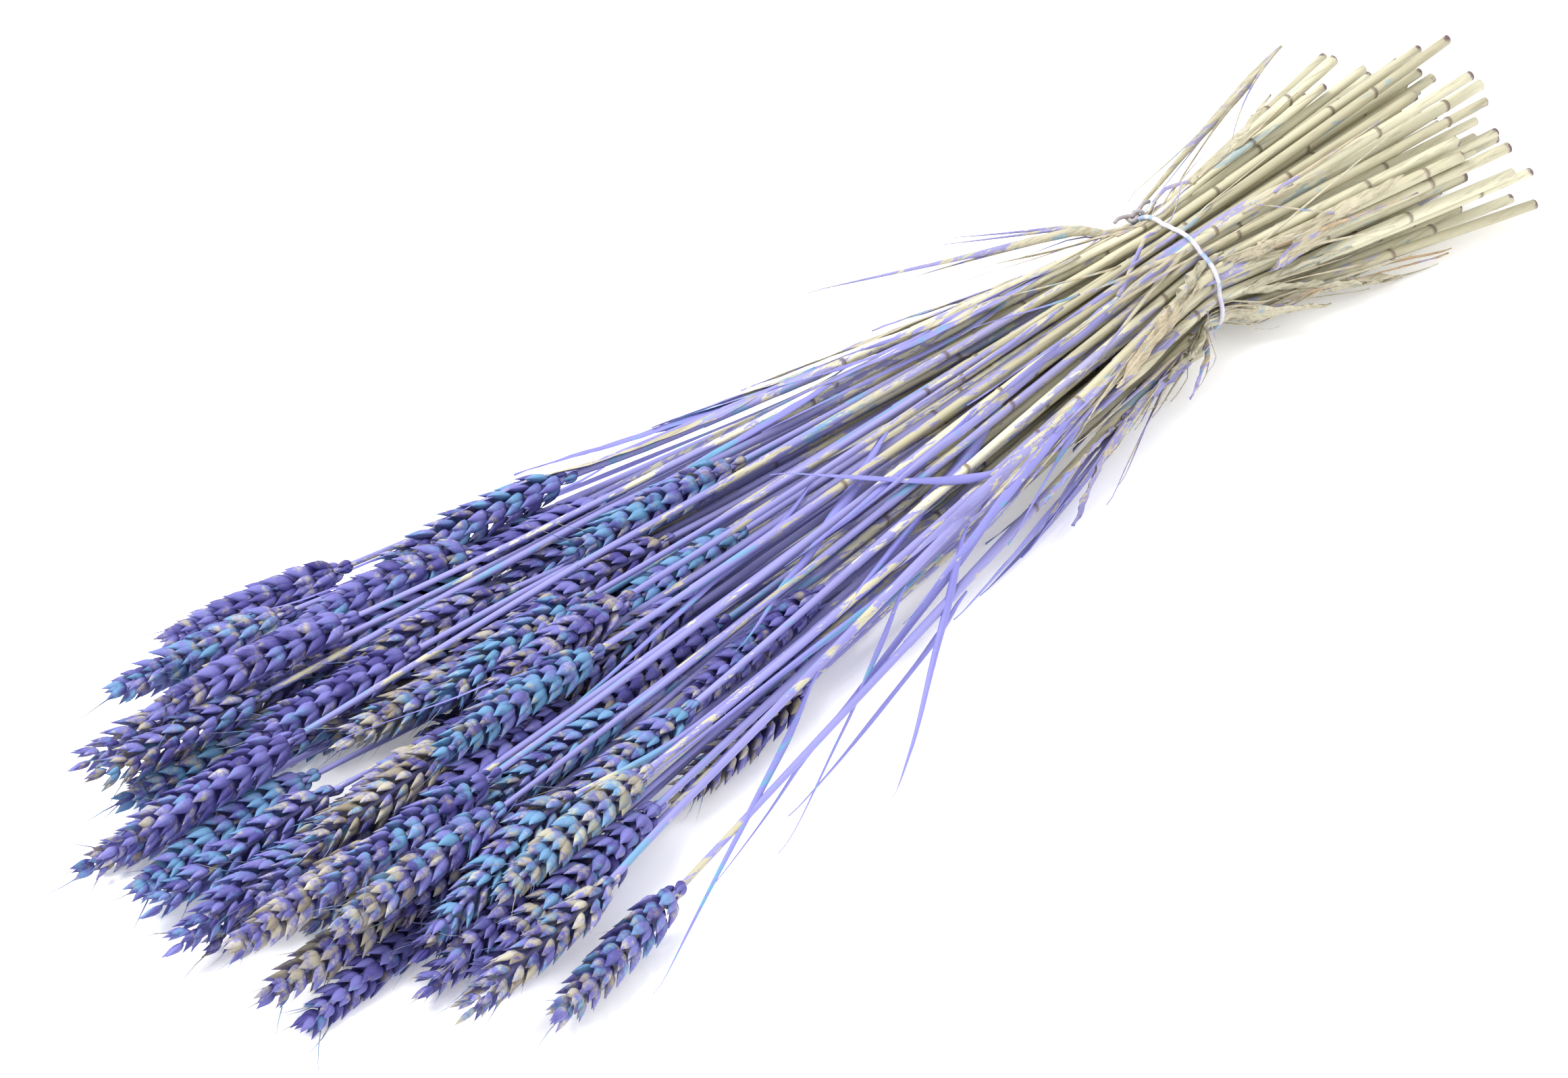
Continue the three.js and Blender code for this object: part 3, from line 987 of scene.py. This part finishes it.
def make_leaf(name, course, width, material, fold, twist, seed, wave=0.15, dye=0.0, brown=0.0,
              nodes=(), crumple=0.0):
    """A thin leaf along its course, folded along its middle."""
    sections = course.sections(width, twist, wave, seed)
    draw = random.Random(seed + 1)
    creases = [(draw.uniform(1.5, 6), draw.uniform(0.5, 2.2), draw.uniform(0, 6)) for _ in range(3)]

    def folded(k, p):
        half = sections[k].to_scale().x / MM
        height = fold * abs(p.x) * half
        for across, run, phase in creases:
            height += crumple * math.sin(across * p.x + run * k + phase)
        return Vector((p.x * (1 - 0.3 * abs(fold)), p.y + height / (LEAF_THICKNESS / 2), p.z))

    bm = bmesh.new()
    rings = sweep(bm, sections, LEAF_SIDES)
    roll = rolled(bm, rings, sections)
    reshape(rings, sections, folded)
    piece = new_piece(name, bm, [material], nodes)
    place = Place(0, 0, 1, 1, LEAF_ROWS, len(sections) - 1, LEAF_SIDES)
    roll_out(piece.data, [(roll, place)])
    set_number(piece.data, "seed", random.Random(seed + 2).random())
    set_number(piece.data, "dye", dye)
    set_number(piece.data, "brown", brown)


def solid_course(node, spacing=7):
    """The course of a leaf's solid."""
    rings = rings_of(node)
    t = np.array([ring[0] for ring in rings])
    centres = np.array([ring[1] for ring in rings])
    flat = rings[4][2]
    thin = np.linalg.eigh(flat.T @ flat)[1][:, 0]
    thin *= math.copysign(1, thin[1])
    places = np.linspace(t[0], t[-1], round((t[-1] - t[0]) / spacing) + 1)
    y, z = (smoothed(np.interp(places, t, centres[:, axis])) for axis in (0, 1))
    return Course(places, y, z, Vector((0, *thin)))


def course_from(t0, angle, length, drift, lift, spacing=6.0, curl=0.0):
    """A leaf that leaves an outermost straw at t0 and runs along the bunch.

    A negative length runs towards the cut ends. drift is its slope to one side, lift its slope
    away from the bunch, and curl bends its end further away.
    """
    stalk = outermost(t0, angle)
    outward = np.array([math.cos(angle), math.sin(angle)])
    sideways = np.array([-outward[1], outward[0]])
    towards = math.copysign(1, length)
    length = min(abs(length), t0 - SHORTEST_CUT if towards < 0 else LAST_T - t0)
    t = t0 + towards * np.arange(0, length + spacing, spacing)
    run = np.abs(t - t0)
    share = run / run[-1]
    base = stalk.at(np.clip(t, FIRST_T, LAST_T))
    stand = 0.4 + stalk.straw_radius(t0) + lift * run + curl * share**2.5
    y, z = base + outward[:, None] * stand + sideways[:, None] * drift * run
    return Course(t, y, z, Vector((0, *outward)))


# Long loose blades: place along the bunch, angle around it in degrees, length, slope to one side,
# slope away from the bunch and half width, in millimetres.
LOOSE_BLADES = (
    (215, 92, 190, 0.16, 0.02, 2.0),
    (250, 70, 170, -0.2, 0.02, 1.6),
    (180, 105, 210, -0.1, 0.03, 2.4),
    (290, 118, 150, 0.24, 0.02, 1.8),
    (150, 150, 230, 0.1, 0.02, 2.6),
    (120, 40, 240, -0.12, 0.02, 2.2),
    (80, 196, 130, -0.04, 0.01, 5.2),
    (70, 205, 110, 0.1, 0.02, 3.4),
    (60, 60, 150, 0.1, 0.03, 2.4),
    (300, 60, 130, 0.14, 0.03, 1.5),
    (330, 95, 120, -0.3, 0.04, 1.5),
    (200, 165, 130, 0.06, 0.01, 2.4),
    (150, 120, 95, -0.75, 0.05, 2.6),
    (185, 130, 110, 0.5, 0.04, 2.4),
    (175, 95, 130, 0.35, 0.03, 3.4),
    (120, 100, 140, 0.22, 0.02, 4.2),
    (230, 140, 120, 0.3, 0.04, 1.8),
)


# The blades with solids of their own: half width, fold, twist, how much more dye they took, how
# many strips lie beside them and how far those spread.
LONG_BLADES = (
    (3.0, 0.5, 0.5, 0.2, 4, 12),
    (3.2, 0.6, -0.6, 0.3, 4, 12),
    (5.4, 0.7, 0.9, 0.3, 2, 3),
)


def make_long_blades(material):
    """The blades with solids of their own, and the thin strips beside them."""
    for k, (half_width, fold, twist, dye, strips, spread) in enumerate(LONG_BLADES):
        node = f"leaf_blade_{k + 1}"
        course = solid_course(node)
        course.pass_under_string()
        make_leaf(node.replace("blade", "strip"), course, blade_width(half_width), material,
                  fold, twist, 700 + k, dye=dye, nodes=[node])
        draw = random.Random(720 + k)
        for n in range(strips):
            aside = draw.gauss(0, spread)
            beside = course.beside(draw.uniform(0.45, 0.9), aside, draw.gauss(-2, 6))
            make_leaf(f"strip_beside_{k + 1}_{n + 1}", beside, blade_width(draw.uniform(0.8, 1.9)),
                      material, 0.5, draw.uniform(-1.5, 1.5), 740 + 10 * k + n,
                      dye=dye + draw.uniform(0, 0.4))


def make_loose_blades(material):
    """The long blades that lie on the bunch."""
    for k, (t0, degrees, length, drift, lift, half_width) in enumerate(LOOSE_BLADES):
        draw = random.Random(400 + k)
        course = course_from(t0, math.radians(degrees), length, drift, lift)
        course.settle(0.5, weight=0.25)
        make_leaf(f"loose_blade_{k + 1:02d}", course, blade_width(half_width), material,
                  draw.uniform(0.2, 0.8), draw.uniform(-1.2, 1.2), 400 + k, dye=0.35)


def make_sheath_leaves(material, draw, count):
    """Leaves that still hang on the straws, most of them around the string."""
    for k in range(count):
        t0 = draw.triangular(-120, 230, 25)
        angle = math.radians(draw.uniform(0, 360))
        if t0 > 60:
            angle = math.radians(draw.uniform(5, 165))
        length = draw.uniform(50, 150) * (-0.7 if t0 < -20 and draw.random() < 0.5 else 1)
        course = course_from(t0, angle, length, draw.gauss(0, 0.07), draw.uniform(0, 0.05),
                             curl=draw.uniform(-1, 6))
        course.settle(0.4, weight=0.05)
        brown = draw.uniform(0.3, 1) if t0 < -20 and draw.random() < 0.3 else 0.0
        make_leaf(f"sheath_leaf_{k + 1:02d}", course, blade_width(draw.uniform(1.3, 4.2), 0.6),
                  material, draw.uniform(0.1, 0.9), draw.uniform(-1.4, 1.4), 800 + k,
                  dye=draw.uniform(-0.1, 0.5), brown=brown, crumple=0.15)


def make_torn_sheaths(material, draw, count):
    """Short torn pieces of sheath around the string."""
    for k in range(count):
        t0 = draw.triangular(-95, 110, 12)
        angle = math.radians(draw.triangular(20, 350, 215))
        towards = -1 if draw.random() < 0.5 else 1
        course = course_from(t0, angle, towards * draw.uniform(28, 75), draw.gauss(0, 0.12),
                             draw.uniform(0.0, 0.1), 3.0, draw.uniform(0, 9))
        course.settle(0.5)
        make_leaf(f"torn_sheath_{k + 1:02d}", course,
                  torn_width(draw.uniform(1.6, 5), 900 + k), material, draw.uniform(-0.2, 0.6),
                  draw.uniform(-0.9, 0.9), 900 + k, dye=draw.uniform(-0.3, 0.4),
                  brown=max(0, draw.uniform(-0.7, 0.4)), crumple=0.4)


def make_shreds(material, draw, count):
    """Thin shreds of leaf around the string."""
    for k in range(count):
        t0 = draw.triangular(-110, 120, 0)
        angle = math.radians(draw.triangular(0, 330, 210))
        towards = -1 if draw.random() < 0.35 else 1
        lift = draw.uniform(0.01, 0.12 if towards > 0 else 0.04)
        course = course_from(t0, angle, towards * draw.uniform(35, 100), draw.gauss(0, 0.2),
                             lift, 5.0, draw.uniform(0, 7))
        course.settle(0.3)
        make_leaf(f"shred_{k + 1:02d}", course, blade_width(draw.uniform(0.5, 1.5), 0.7),
                  material, 0.5, draw.uniform(-3, 3), 1000 + k, dye=draw.uniform(-0.1, 0.45),
                  brown=draw.uniform(0, 0.3))


# ---- String ----

STRING_RADIUS, STRING_STEPS, STRING_TWISTS = 1.05, 260, 38
KNOT_ANGLE, KNOT_STAND = 0.8, 3
KNOT_RADIUS, KNOT_STEPS, KNOT_TWISTS = 0.95, 72, 8
TAIL_LENGTH, TAIL_RADIUS, TAIL_STEPS, TAIL_TWISTS = 13, 0.9, 12, 3
CORD_SIDES = 12


def cord_sections(points, radius):
    """Round sections along a path of points."""
    made = []
    last = len(points) - 1
    reference = Vector((1, 0.2, 0.1))
    for k, point in enumerate(points):
        along = (points[min(k + 1, last)] - points[max(k - 1, 0)]).normalized()
        side = along.cross(reference).normalized()
        reference = side.cross(along)
        axes = (side, along.cross(side), along)
        made.append(placed(axes, point, (radius * MM, radius * MM, MM)))
    return made


def add_cord(bm, points, radius, twists):
    """A cord of two strands twisted together, along a path of points."""
    sections = cord_sections(points, radius)
    last = len(sections) - 1

    def stranded(k, p):
        around = math.atan2(p.y, p.x) - twists * 2 * math.pi * k / last
        return Vector((p.x, p.y, 0)) * (0.84 + 0.2 * abs(math.cos(around)))

    rings = sweep(bm, sections, CORD_SIDES)
    reshape(rings, sections, stranded)
    return [v for ring in rings for v in ring]


def turn_points(centre):
    """One turn around the waist, from the knot back to it."""
    for k in range(STRING_STEPS + 1):
        angle = KNOT_ANGLE + 2 * math.pi * k / STRING_STEPS
        towards = np.array([math.cos(angle), math.sin(angle)])
        y, z = centre + towards * (waist_reach(angle) + STRING_RADIUS)
        sway = 0.9 * math.sin(angle * 2 + 1) - 0.7 * math.sin(angle)
        yield Vector((STRING_X + sway * MM, y * MM, z * MM))


def knot_points(middle, along, across, outward):
    """A closed path that crosses itself three times, as an overhand knot does."""
    for k in range(KNOT_STEPS + 1):
        u = 2 * math.pi * k / KNOT_STEPS
        a = math.sin(u) + 2 * math.sin(2 * u)
        b = math.cos(u) - 2 * math.cos(2 * u)
        c = -math.sin(3 * u)
        yield middle + (across * a * 1.3 + along * b * 1.2 + outward * c * 1.5) * MM


def tail_points(middle, side, across, outward):
    """A tail that leaves the knot to one side."""
    for k in range(TAIL_STEPS + 1):
        share = k / TAIL_STEPS
        bend = outward * 2.5 * math.sin(2.2 * share) + across * side * 3 * share**2
        yield middle + (Vector((side * TAIL_LENGTH * share, 0, 0)) + bend) * MM


def make_string(material):
    """The string: one turn pulled tight around the waist, a knot and two short tails."""
    bm = bmesh.new()
    grime = bm.verts.layers.float.new("grime")
    centre = waist_centre()
    add_cord(bm, list(turn_points(centre)), STRING_RADIUS, STRING_TWISTS)
    towards = np.array([math.cos(KNOT_ANGLE), math.sin(KNOT_ANGLE)])
    middle = centre + towards * (waist_reach(KNOT_ANGLE) + KNOT_STAND)
    middle = Vector((STRING_X, *(middle * MM)))
    outward = Vector((0, *towards))
    along = Vector((1, 0, 0))
    across = outward.cross(along)
    loops = list(knot_points(middle, along, across, outward))
    knot = add_cord(bm, loops, KNOT_RADIUS, KNOT_TWISTS)
    for side in (-1, 1):
        tail = list(tail_points(middle, side, across, outward))
        knot += add_cord(bm, tail, TAIL_RADIUS, TAIL_TWISTS)
    for v in knot:
        v[grime] = 1.0
    new_piece("string_tie", bm, [material], ["tie_string"])


# ---- Settings, operators and panel ----


def colour(name, description, red, green, blue):
    """A colour setting, given in screen values from 0 to 255."""
    return FloatVectorProperty(
        name=name, description=description, subtype="COLOR", size=3,
        default=screen(red, green, blue),
    )


class WheatSettings(bpy.types.PropertyGroup):
    """Sizes and colours of the bunch."""

    lavender: colour("Lavender", "The main dye on straws and leaves", 146, 145, 214)
    violet: colour("Violet", "The main dye on husks", 112, 110, 176)
    deep: colour("Deep violet", "The main dye, where it took best", 60, 54, 122)
    sky: colour("Sky blue", "The second dye", 98, 152, 184)
    straw: colour("Straw", "Undyed straw", 220, 216, 190)
    dull_straw: colour("Dull straw", "Weathered straw and sheaths", 178, 172, 145)
    string: colour("String", "The string", 204, 202, 214)
    husk_length: FloatProperty(
        name="Husk length", description="Length of a full-grown husk, in millimetres",
        default=13.4, min=6, max=18,
    )
    spikelet_pitch: FloatProperty(
        name="Spikelet pitch", description="Distance between spikelets of one rank, in millimetres",
        default=9.4, min=4, max=14,
    )
    awn_share: FloatProperty(
        name="Awns", description="Share of the husks near the ear's tip that end in a fine hair",
        default=0.36, min=0, max=1, subtype="FACTOR",
    )
    straw_sides: IntProperty(
        name="Straw sides", description="Sides of a straw", default=10, min=5, max=24
    )
    ring_step: FloatProperty(
        name="Ring step", description="Distance between a straw's rings, in millimetres",
        default=14, min=4, max=40,
    )
    sheath_leaves: IntProperty(
        name="Sheath leaves", description="Leaves that still hang on the straws",
        default=54, min=0, max=200,
    )
    torn_sheaths: IntProperty(
        name="Torn sheaths", description="Short torn pieces of sheath around the string",
        default=44, min=0, max=100,
    )
    shreds: IntProperty(
        name="Shreds", description="Thin shreds of leaf", default=72, min=0, max=200
    )
    camera_distance: FloatProperty(
        name="Camera distance", description="From the camera to the middle of the view",
        default=2.2, unit="LENGTH",
    )


FLOOR_HALF = 6  # metres
FLOOR_COLOUR = (0.97, 0.97, 0.985, 1)
FLOOR_GLOW = 0.22
WHITE = (1, 1, 1, 1)


def make_floor():
    """A pale floor that glows a little, so that the shadows on it stay soft and light."""
    bm = bmesh.new()
    bmesh.ops.create_grid(bm, x_segments=1, y_segments=1, size=FLOOR_HALF)
    mesh = bpy.data.meshes.new("floor")
    bm.to_mesh(mesh)
    bm.free()
    shader = Shader("floor", 0.9)
    shader.principled.inputs["Base Color"].default_value = FLOOR_COLOUR
    shader.principled.inputs["Emission Color"].default_value = WHITE
    shader.principled.inputs["Emission Strength"].default_value = FLOOR_GLOW
    mesh.materials.append(shader.material)
    floor = bpy.data.objects.new("floor", mesh)
    bpy.context.scene.collection.objects.link(floor)


# Lights: name, place in metres, size and power.
LIGHTS = (
    ("key", (-0.9, 0.5, 1.7), 1.1, 46),
    ("fill", (0.6, -1.6, 1.5), 2.0, 12),
)


def make_lights(scene):
    world = bpy.data.worlds.new("studio")
    world.use_nodes = True
    background = world.node_tree.nodes["Background"]
    background.inputs["Color"].default_value = WHITE
    background.inputs["Strength"].default_value = 1.0
    scene.world = world
    for name, place, size, power in LIGHTS:
        light = bpy.data.lights.new(name, "AREA")
        light.size = size
        light.energy = power
        lamp = bpy.data.objects.new(name, light)
        lamp.location = place
        lamp.rotation_mode = "QUATERNION"
        lamp.rotation_quaternion = (-Vector(place)).to_track_quat("-Z", "Y")
        scene.collection.objects.link(lamp)
    scene.view_settings.view_transform = "Standard"


LENS, SENSOR = 130, 36
AZIMUTH, ELEVATION = -45.5, 37  # degrees
AIM_FROM_STRING = (-0.232, -0.008, -0.009)  # metres


def make_camera(scene, distance):
    data = bpy.data.cameras.new("camera")
    data.lens = LENS
    data.sensor_width = SENSOR
    camera = bpy.data.objects.new("camera", data)
    azimuth, elevation = math.radians(AZIMUTH), math.radians(ELEVATION)
    target = middle_of("tie_string") + Vector(AIM_FROM_STRING)
    back = Vector((
        math.sin(azimuth) * math.cos(elevation),
        -math.cos(azimuth) * math.cos(elevation),
        math.sin(elevation),
    ))
    camera.location = target + back * distance
    camera.rotation_mode = "QUATERNION"
    camera.rotation_quaternion = (-back).to_track_quat("-Z", "Y")
    scene.collection.objects.link(camera)
    scene.camera = camera


class WHEAT_OT_stage(bpy.types.Operator):
    """Make the pale floor, the soft lights and the camera"""

    bl_idname = "wheat.stage"
    bl_label = "Stage"

    def execute(self, context):
        make_floor()
        make_lights(context.scene)
        make_camera(context.scene, context.scene.wheat.camera_distance)
        return {"FINISHED"}


class WHEAT_OT_stalks(bpy.types.Operator):
    """Make the stalks, each a straw with the husks and awns of its ear"""

    bl_idname = "wheat.stalks"
    bl_label = "Stalks"

    def execute(self, context):
        materials = [straw_material(), husk_material()]
        templates = husk_templates()
        for stalk in all_stalks():
            make_stalk(stalk, materials, templates)
        for mesh, _ in templates.values():
            bpy.data.meshes.remove(mesh)
        return {"FINISHED"}


class WHEAT_OT_leaves(bpy.types.Operator):
    """Make the loose blades, the leaves on the straws and their torn sheaths"""

    bl_idname = "wheat.leaves"
    bl_label = "Leaves"

    def execute(self, context):
        s = context.scene.wheat
        material = leaf_material()
        draw = random.Random(21)
        make_long_blades(material)
        make_loose_blades(material)
        make_sheath_leaves(material, draw, s.sheath_leaves)
        make_torn_sheaths(material, draw, s.torn_sheaths)
        make_shreds(material, draw, s.shreds)
        return {"FINISHED"}


class WHEAT_OT_string(bpy.types.Operator):
    """Make the string with its knot"""

    bl_idname = "wheat.string"
    bl_label = "String"

    def execute(self, context):
        make_string(string_material())
        return {"FINISHED"}


OPERATORS = (WHEAT_OT_stage, WHEAT_OT_stalks, WHEAT_OT_leaves, WHEAT_OT_string)


class WHEAT_PT_panel(bpy.types.Panel):
    """Lists the pieces of the bunch"""

    bl_label = "Wheat bunch"
    bl_idname = "WHEAT_PT_panel"
    bl_space_type = "VIEW_3D"
    bl_region_type = "UI"
    bl_category = "Wheat"

    def draw(self, context):
        for operator in OPERATORS:
            self.layout.operator(operator.bl_idname)
        for name in WheatSettings.__annotations__:
            self.layout.prop(context.scene.wheat, name)


CLASSES = (WheatSettings, *OPERATORS, WHEAT_PT_panel)


def register():
    for cls in CLASSES:
        bpy.utils.register_class(cls)
    bpy.types.Scene.wheat = PointerProperty(type=WheatSettings)


def unregister():
    del bpy.types.Scene.wheat
    for cls in reversed(CLASSES):
        bpy.utils.unregister_class(cls)


def main():
    register()
    bpy.ops.wheat.stage()
    bpy.ops.wheat.stalks()
    bpy.ops.wheat.leaves()
    bpy.ops.wheat.string()


if __name__ == "__main__":
    main()
